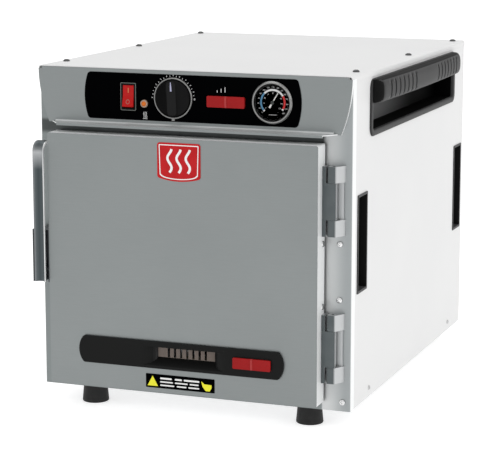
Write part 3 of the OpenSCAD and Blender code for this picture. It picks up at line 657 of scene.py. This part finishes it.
def knob_moulding(p):
    """Painted light: the bar's front is paler than its flanks and the disc, which pale to the right."""
    here = p.place()
    # Painted light: paler towards the right.
    side = here.axis("X").between(-0.044, -0.012).mix((0.0008, 0.0008, 0.0009), (0.006, 0.006, 0.0062))
    bar_front = corner.y + (bar_back - bar_rise) * MM
    flank = here.axis("Y").between(bar_front - 0.0001, bar_front + 0.0008)
    # Painted sheen: the bar's front is paler than its flanks and the disc.
    return {"Base Color": flank.mix((0.0125, 0.0125, 0.0127), side),
            "Roughness": 0.40 + 0.12 * p.grain(0.0006)}


knob_black_painted_light = finish("knob_black_painted_light", knob_moulding, Specular_IOR_Level=0.06)


def lathe(bm, centre, profile, count=64):
    """A turned form about the front-to-back axis, from (radius, y) pairs that start and end on it."""
    rings = []
    for radius, y in profile:
        circle = [on_circle(centre, radius, 360 * i / count) for i in range(count if radius else 1)]
        rings.append([bm.verts.new(spot(x, y, z)) for x, z in circle])
    for a, b in zip(rings, rings[1:]):
        for i in range(count):
            quad = (a[(i - 1) % len(a)], a[i % len(a)], b[i % len(b)], b[(i - 1) % len(b)])
            bm.faces.new([v for k, v in enumerate(quad) if v not in quad[:k]])


def loft(bm, sections):
    """Skins a row of equal sections and closes both ends."""
    loops = [[bm.verts.new(point) for point in section] for section in sections]
    for a, b in zip(loops, loops[1:]):
        for i in range(len(a)):
            bm.faces.new((a[i - 1], a[i], b[i], b[i - 1]))
    bm.faces.new(loops[0][::-1])
    bm.faces.new(loops[-1])


bm = bmesh.new()
lathe(bm, dial, [(0, -6.1), (25.8, -6.1), (26.2, -6.5), (26.2, -9), (25.7, -9.8), (24.6, -10.2),
                 (18, -10.7), (10, -10.9), (0, -10.9)])
knob_turn = math.radians(2.5)


def on_knob(x, y, z):
    """A point on the knob, x to the right and z up before the knob's slight turn to the left."""
    c, s = math.cos(knob_turn), math.sin(knob_turn)
    return spot(dial[0] + c * x - s * z, y, dial[1] + s * x + c * z)


bar = []
for step in range(11):
    rise = step / 10
    y = bar_back - bar_rise * rise
    shrink = 1.0 if step < 8 else 1 - 0.05 * ((step - 7) / 3) ** 2
    half = 7.2 + 4.6 * (1 - rise) ** 2
    outline = rounded((0, 0), 2 * half * shrink, 2 * (25.4 - 0.6 * rise) * shrink, 5.6 * shrink, 8)
    bar.append([on_knob(x, y, z) for x, z in outline])
loft(bm, bar)
knob = piece("knob_moulding", bm, knob_black_painted_light, "knob", 50)
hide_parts("thermostat_knob")
bm = bmesh.new()
pointer = [(-0.5, 23.4), (-1.0, 18), (-1.3, 10.6), (1.3, 10.6), (1.0, 18), (0.5, 23.4)]
pointer_front = bar_back - bar_rise - 0.15
loft(bm, [[on_knob(x, y, z) for x, z in pointer] for y in (pointer_front, pointer_front + 0.35)])
piece("knob_pointer", bm, ink("pointer_ink", (0.40, 0.40, 0.56)), "knob")

# ---- Gauge --------------------------------------------------------------------------------
# A round dial thermometer: plated case, black face, a coloured band for the cold, holding and
# hot ranges, numbers round the edge and a white needle under a flat glass.

face_y = -3.62
face_ink_y = (face_y - 0.06, face_y)


def arc_band(bm, radii, clocks, y):
    """A printed band between two radii and two clock angles."""
    steps = max(2, round(abs(clocks[1] - clocks[0]) / 5))
    turns = [clocks[0] + (clocks[1] - clocks[0]) * i / steps for i in range(steps + 1)]
    outer = [on_circle(gauge, radii[1], t) for t in turns]
    inner = [on_circle(gauge, radii[0], t) for t in turns]
    prism(bm, outer + inner[::-1], *y)


bm = bmesh.new()
lathe(bm, gauge, [(0, face_y + 0.3), (24.3, face_y + 0.3), (24.3, face_y + 0.02), (0, face_y + 0.02)])
piece("gauge_face", bm, ink("gauge_black", (0.028, 0.026, 0.024)), "cabinet")
for name, shade, spans in (
        ("gauge_cold_band", (0.065, 0.215, 0.37), [(-130, -45)]),
        ("gauge_hot_band", (0.58, 0.006, 0.006), [(58, 120)]),
        ("gauge_white_band", (0.72, 0.72, 0.72), [(-136, -130), (-45, 50), (51, 57.5), (120.5, 127)])):
    bm = bmesh.new()
    for clocks in spans:
        arc_band(bm, (16.2, 19.0), clocks, face_ink_y)
    if name == "gauge_white_band":
        for i in range(15):
            numeral(bm, str(20 * i), on_circle(gauge, 21.6, -133 + 19 * i), 1.9, face_ink_y)
        for i in range(9):
            numeral(bm, str(15 * i), on_circle(gauge, 13.2, -128 + 32 * i), 1.7, face_ink_y)
        stroke(bm, [(gauge[0] - 6, gauge[1] - 17.5), (gauge[0] + 6, gauge[1] - 17.5)], 0.5, face_ink_y)
    piece(name, bm, ink(name.replace("band", "ink"), shade), "cabinet")


def needle_paint(p):
    """White with a black hub."""
    blade = off_gauge(p).between(0.0030, 0.0036)
    return {"Base Color": blade.mix((0.015, 0.02, 0.018), (0.70, 0.70, 0.68)),
            "Roughness": 0.4 + 0.1 * p.grain(0.001)}


coat(finish("needle_paint", needle_paint), "gauge_needle")
coat(finish("gauge_window", lambda p: {"Roughness": 0.02 + 0.02 * p.grain(0.01)}, Base_Color=(1, 1, 1, 1),
            Transmission_Weight=1.0, IOR=1.02, Specular_IOR_Level=0.3), "gauge_glass")

# ---- Rubber feet --------------------------------------------------------------------------
# Four tapered black rubber feet, moulded with a dull skin that picks up dust.


def rubber(p):
    dust = p.grain(0.006)
    return {"Base Color": dust.between(0.35, 0.75).mix((0.004, 0.004, 0.004), (0.010, 0.010, 0.010)),
            "Roughness": 0.5 + 0.2 * dust}


coat(finish("black_rubber", rubber, Specular_IOR_Level=0.35), "feet")
coat(finish("gasket_rubber", rubber, Specular_IOR_Level=0.3), "door_gasket")

# ---- Side grips ---------------------------------------------------------------------------
# Each grip is one black glass-filled nylon moulding, pushed into the side panel: a rounded rim,
# a deep recess and a fat bar that bows outward and rounds off at its ends, with two groups of
# finger grooves.

grip_nylon = moulded("grip_nylon", (0.018, 0.018, 0.0185), (0.024, 0.024, 0.0245), 0.52,
                     Specular_IOR_Level=0.25)
# Near black: painted shade on the bars' tops and rounded ends, and the rear inlet's own black.
cap_shade_and_inlet_black = moulded("cap_shade_and_inlet_black", (0.004, 0.004, 0.004), (0.006, 0.006, 0.006), 0.6, Specular_IOR_Level=0.06)


def recess_shade(p):
    """The tray's back catches light at its near end. Its other walls are in the dark."""
    lit = p.facing("X") * (1 - p.place().axis("Y").between(-0.17, 0.13))
    patchy = lit * (0.9 + 0.1 * p.grain(0.004))
    return {"Base Color": patchy.mix((0.001, 0.001, 0.001), (0.17, 0.17, 0.172))}


grip_recess = finish("grip_recess", recess_shade, Roughness=0.7, Specular_IOR_Level=0.03)
wall_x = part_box("side_panel_right")[1].x / MM
grip_centre = (315, 424.5)
grip_size = (470, 83)
# The rim's section: each step's distance in from the outline and out from the panel.
rim_steps = ((5.2, -31), (5.2, -0.6), (0.2, 0.1), (0.2, 1.4), (0.5, 2.1), (1.3, 2.6), (6.2, 2.6),
             (7.6, 2.3), (8.8, 1.2), (9.6, -1.5), (10.4, -29.5))
bar_middle, bar_half = 315, 228
bar_z = (431, 465)
end_round = 18
groove_z = (436, 460)
grooves = [bar_middle - 1 + s * (64 + 20 * i) for s in (-1, 1) for i in range(7)]
end_steps = (0, 0.3, 0.9, 1.8, 3, 4.5, 6.5, 9, 12, 15, end_round)
stations = {bar_middle + s * (bar_half - d) for s in (-1, 1) for d in end_steps}
stations |= {bar_middle - bar_half + 22 + (2 * bar_half - 44) * i / 38 for i in range(39)}
stations |= {g + d for g in grooves for d in (-2.9, -1.9, 0, 1.9, 2.9)}


def rim_section(side, inset, out):
    """One outline of the rim or of the tray behind it."""
    outline = rounded(grip_centre, grip_size[0] - 2.6 * inset, grip_size[1] - 2 * inset, max(14 - inset, 5))
    return [spot(side * (wall_x + out), y, z) for y, z in outline]


def bar_section(side, y):
    """The bar's squarish section at y, drawn in at the bar's ends and hollowed at a groove."""
    end = bar_half - abs(y - bar_middle)
    shrink = 1.0 if end >= 6 else 0.93 + 0.07 * math.sin(math.pi / 2 * end / 6)
    reach = 16 + 5.8 * (1 - ((y - bar_middle) / bar_half) ** 2)
    if end < end_round:
        reach *= (1 - 0.92 * (1 - end / end_round) ** 2) ** 0.5
    groove = 2.8 if any(abs(y - g) < 2.0 for g in grooves) else 0.0
    section = []
    for i in range(40):
        a = 2 * math.pi * i / 40
        u, w = math.cos(a), math.sin(a)
        square = (abs(u) ** 2.8 + abs(w) ** 2.8) ** (-1 / 2.8)
        out = (reach + 4) / 2 * (1 + u * square * shrink) - 4
        z = (bar_z[0] + bar_z[1]) / 2 + (bar_z[1] - bar_z[0]) / 2 * w * square * shrink
        if u > 0.2 and groove_z[0] < z < groove_z[1]:
            along = (z - groove_z[0]) / (groove_z[1] - groove_z[0])
            out -= groove * math.sin(math.pi * along) ** 0.4
        section.append(spot(side * (wall_x + out), y, z))
    return section


def in_tray(polygon):
    return abs(polygon.center.x) / MM < wall_x - 1.4


def on_shaded_cap(polygon):
    """The bar's top and its rounded ends, which get painted shade."""
    at_end = abs((polygon.center.y - corner.y) / MM - bar_middle) > bar_half - end_round
    return polygon.normal.z > 0.8 or (at_end and abs(polygon.normal.y) > 0.3)


def paint_where(made, material, test):
    """Gives the faces that pass a test a second material."""
    made.data.materials.append(material)
    for polygon in made.data.polygons:
        if test(polygon):
            polygon.material_index = 1


for name, side in (("grip_right", 1), ("grip_left", -1)):
    bm = bmesh.new()
    loft(bm, [rim_section(side, inset, out) for inset, out in rim_steps])
    made = piece(name + "_rim", bm, grip_nylon, "cabinet", 50)
    paint_where(made, grip_recess, in_tray)
    bm = bmesh.new()
    loft(bm, [bar_section(side, y) for y in sorted(stations)])
    made = piece(name + "_bar", bm, grip_nylon, "cabinet", 40)
    # The bars' tops and rounded ends get painted shade.
    paint_where(made, cap_shade_and_inlet_black, on_shaded_cap)
    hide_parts(name)

# ---- Side pockets -------------------------------------------------------------------------
# Two narrow recessed plastic pockets are snapped into slots in each side panel.
# The rear inlet is moulded dead black, the colour that the grips' ends get as painted shade.


def pocket_grey_painted_shade(p):
    """Grey in the light, with painted shade making the end walls deep in the pocket black."""
    grey = p.grain(0.05).mix((0.050, 0.050, 0.051), (0.062, 0.062, 0.063))
    # Painted shade: end walls that look forward or back are black.
    return {"Base Color": p.facing("Y").mix(grey, (0.004, 0.004, 0.004)),
            "Roughness": 0.5 + 0.12 * p.grain(0.0006, detail=2.0)}


coat(finish("pocket_grey", pocket_grey_painted_shade, Specular_IOR_Level=0.2),
     "side_pockets_left", "side_pockets_right")
coat(cap_shade_and_inlet_black, "power_inlet")

# ---- Hinges and latch ---------------------------------------------------------------------
# Cast lift-off hinges and an edge latch in plated zinc. Their front faces have darkened, and the
# sides get a painted highlight.


def zinc_painted_lit_sides(front, sides, lit_depth=0.0):
    """Darkened fronts and painted highlight on the sides, also on fronts deeper than lit_depth millimetres.
    """
    def recipe(p):
        wear = p.grain(0.02)
        front_face = p.facing("Y")
        if lit_depth:
            depth = corner.y + lit_depth * MM
            front_face = front_face * (1 - p.place().axis("Y").between(depth - MM, depth))
        # Painted highlight on the sides and on fronts set back past lit_depth.
        return {"Base Color": (front_face * (0.9 + 0.1 * wear)).mix(sides, front),
                "Roughness": 0.30 + 0.1 * wear}
    return recipe


hinge_names = ["hinge_" + half + end for half in ("base", "leaf") for end in ("_upper", "_lower")]
coat(finish("hinge_zinc", zinc_painted_lit_sides((0.075, 0.088, 0.092), (0.50, 0.51, 0.515), -5), Metallic=0.85),
     *hinge_names)
soften(0.3, *hinge_names)
coat(finish("latch_dark", zinc_painted_lit_sides((0.05, 0.055, 0.06), (0.16, 0.165, 0.17)), Metallic=0.8), "latch_body")

# The lever is a pressed channel with a rolled rim, bent back at its top, on a boss and a cam.
lever_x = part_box("latch_lever")[0].x / MM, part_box("latch_lever")[1].x / MM
lever_middle = sum(lever_x) / 2
lever_half = (lever_x[1] - lever_x[0]) / 2 - 0.8
lever_front = -44.0
lever_low, lever_bend = 163.0, 355.0


def lever_painted_light(p):
    """Painted light: a dark channel with a paler left edge, and a painted highlight on the rolled
    right rim and where the top begins to curl back.
    """
    here = p.place()
    across = (here.axis("X") - (lever_middle - lever_half) * MM) * (0.5 / lever_half / MM)
    # Painted light across the channel: paler left edge, dark middle, painted highlight on the right rim.
    painted_channel_light = across.make("ShaderNodeValToRGB", {"Fac": across}, stops=[
        (0.0, (0.10, 0.11, 0.115)), (0.06, (0.20, 0.21, 0.22)), (0.2, (0.085, 0.10, 0.105)),
        (0.45, (0.052, 0.065, 0.07)), (0.91, (0.075, 0.09, 0.095)), (0.94, (0.70, 0.70, 0.70))])
    # A painted highlight band where the top begins to curl back.
    up = (here.axis("Z") - (corner.z + (lever_bend - 25) * MM)) * 25.0
    curl = up.make("ShaderNodeValToRGB", {"Fac": up}, stops=[
        (0.0, (0, 0, 0)), (0.45, (0.55, 0.55, 0.55)), (0.62, (0.80, 0.80, 0.80)),
        (0.85, (0.12, 0.12, 0.12)), (1.0, (0, 0, 0))])
    return {"Base Color": curl.mix(painted_channel_light, (0.48, 0.49, 0.50)), "Roughness": 0.3 + 0.08 * p.grain(0.02)}


latch_zinc = finish("latch_zinc", lever_painted_light, Metallic=0.85)


def lever_section(y, z, turn, hollow):
    """Across the lever at one point of its path: rolled rims and channel, then the flat back."""
    inward = (-math.cos(math.radians(turn)), -math.sin(math.radians(turn)))
    front, back = [], []
    for i in range(17):
        u = -1 + i / 8
        rim = 1.0 if abs(u) > 0.96 else 0.35 if abs(u) > 0.86 else 0.0
        sink = 2.4 * hollow * (1 - (u / 0.8) ** 2) ** 0.5 if abs(u) < 0.8 else 0.0
        front.append((u, max(sink, 0.8 * rim)))
        back.append((-u, 4.2 if abs(u) < 0.97 else 3.6))
    return [spot(lever_middle + u * lever_half, y + inward[0] * depth, z + inward[1] * depth)
            for u, depth in front + back]


curl_radius = 16
path = [(lever_front + 2.2, lever_low, 200, 1), (lever_front + 0.7, lever_low + 1.5, 190, 1)]
path += [(lever_front, lever_low + 5 + (lever_bend - lever_low - 5) * i / 8, 180, 1) for i in range(9)]
for i in range(1, 10):
    curl = math.radians(10 * i)
    path.append((lever_front + curl_radius * (1 - math.cos(curl)), lever_bend + curl_radius * math.sin(curl),
                 180 - 10 * i, max(0, 1 - i / 6)))
bm = bmesh.new()
loft(bm, [lever_section(*point) for point in path])


def lug(bm, half_width, outline):
    """A block across the latch's middle with a (y, z) outline."""
    loft(bm, [[spot(latch_middle + s * half_width, y, z) for y, z in outline] for s in (-1, 1)])


latch_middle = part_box("latch_body")[0].x / MM + 13.2
pivot = (-28, 180)
boss_radius = 6
boss = []
for i in range(24):
    a = math.radians(15 * i)
    boss.append((pivot[0] + boss_radius * math.cos(a), pivot[1] + boss_radius * math.sin(a)))
lug(bm, 8, boss)
web = [(-40.6, 175), (-30, 175), (-30, 185), (-40.6, 185)]
lug(bm, 7, web)
cam = [(-40.6, 164), (-16, 164), (-14.2, 165.5), (-14.2, 168.5), (-16, 169.5), (-40.6, 169)]
lug(bm, 6, cam)
lever = piece("latch_handle", bm, latch_zinc, "lever", 40)
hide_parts("latch_lever")

# ---- Door furniture -----------------------------------------------------------------------
# A red enamelled badge with a white line frame and a rising-heat sign, and a black plate with a
# blank yellow triangle and plain bars, are stuck on the door.

door_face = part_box("door_skin")[0].y
badge_red = finish("badge_enamel", lambda p: {
    "Base Color": p.grain(0.02).between(0.3, 0.7).mix((0.44, 0.007, 0.010), (0.50, 0.010, 0.013))},
    Roughness=0.3, Specular_IOR_Level=0.15)
coat(badge_red, "door_badge")
badge = (-6.5, 352.5)
badge_y = (-36.95, -36.79)


def badge_outline(inset):
    """The badge's shape: a rounded top and sides, and a bottom edge that bulges."""
    w, h, r = 33 - inset, 25.5 - inset, max(4 - inset, 1.0)
    points = []
    for turn, sx, sz in ((0, 1, 1), (90, -1, 1)):
        for i in range(6):
            a = math.radians(turn + 18 * i)
            points.append((badge[0] + sx * (w - r) + r * math.cos(a),
                           badge[1] + sz * (h - r) + r * math.sin(a)))
    for i in range(17):
        u = -1 + i / 8
        points.append((badge[0] + u * (w - 1.2 * abs(u) ** 8),
                       badge[1] - h - 4 * (1 - u * u) + 2.5 * abs(u) ** 8))
    return points


bm = bmesh.new()
band(bm, badge_outline(2.6), badge_outline(3.9), *badge_y)
for i in range(3):
    x = badge[0] - 14 + 14 * i
    wave = [(x + 3.2 * math.sin(step * 0.55), badge[1] - 17 + 2.4 * step) for step in range(15)]
    stroke(bm, wave, 3.6, badge_y)
piece("badge_print", bm, white_ink, "door")

coat(overlay_film, "caution_plate")
plate = (-6.8, 28.6)
plate_y = (-36.62, -36.49)


def on_plate(points):
    """Moves (x, z) points given from the plate's middle to where the plate is."""
    return [(plate[0] + x, plate[1] + z) for x, z in points]


bm = bmesh.new()
prism(bm, on_plate([(-51, -7.5), (-34.5, -7.5), (-42.75, 7.6)]), *plate_y)
prism(bm, on_plate([(35, -2), (40, -8), (46, -8), (49, -3), (49, 1.5), (38, 2), (33, 6)]), *plate_y)
piece("plate_yellow", bm, ink("yellow_ink", (0.86, 0.82, 0.015)), "door")
bm = bmesh.new()
# Each row of bars has a height on the plate, a bar height and the bars' ends.
for z, tall, spans in ((4.6, 2.6, ((-31, -13), (-8, 3), (6, 30))),
                       (-0.6, 2.0, ((-31, -11), (-8, 12), (15, 29))),
                       (-5.6, 2.0, ((-31, -9), (-5, 10), (13, 30)))):
    for x0, x1 in spans:
        prism(bm, on_plate(rounded(((x0 + x1) / 2, z), x1 - x0, tall, 0.9, 3)), *plate_y)
piece("plate_bars", bm, white_ink, "door")

# The vent strip is a black moulding with a hollowed scoop. The slats at the back of the scoop
# are paler where dust and grease have settled on them.


def vent_moulding(p):
    """Black, with dust on the slats and the light on the scoop's flared end."""
    here = p.place()
    pores = p.grain(0.0006, detail=2.0)
    deep = here.axis("Y").between(door_face + 0.0085, door_face + 0.0095) * p.facing("Y")
    flare = p.facing("X") * (1 - here.axis("X").between(0.01, 0.03))
    black = (flare * (0.8 + 0.2 * pores)).mix((0.0068, 0.0070, 0.0068), (0.05, 0.05, 0.05))
    dust = p.grain(0.004).mix((0.17, 0.14, 0.12), (0.22, 0.18, 0.16))
    return {"Base Color": deep.mix(black, dust), "Roughness": 0.36 + 0.12 * pores}


coat(finish("vent_black", vent_moulding, Specular_IOR_Level=0.10), "door_vent")
soften(0.4, "door_badge", "door_vent")
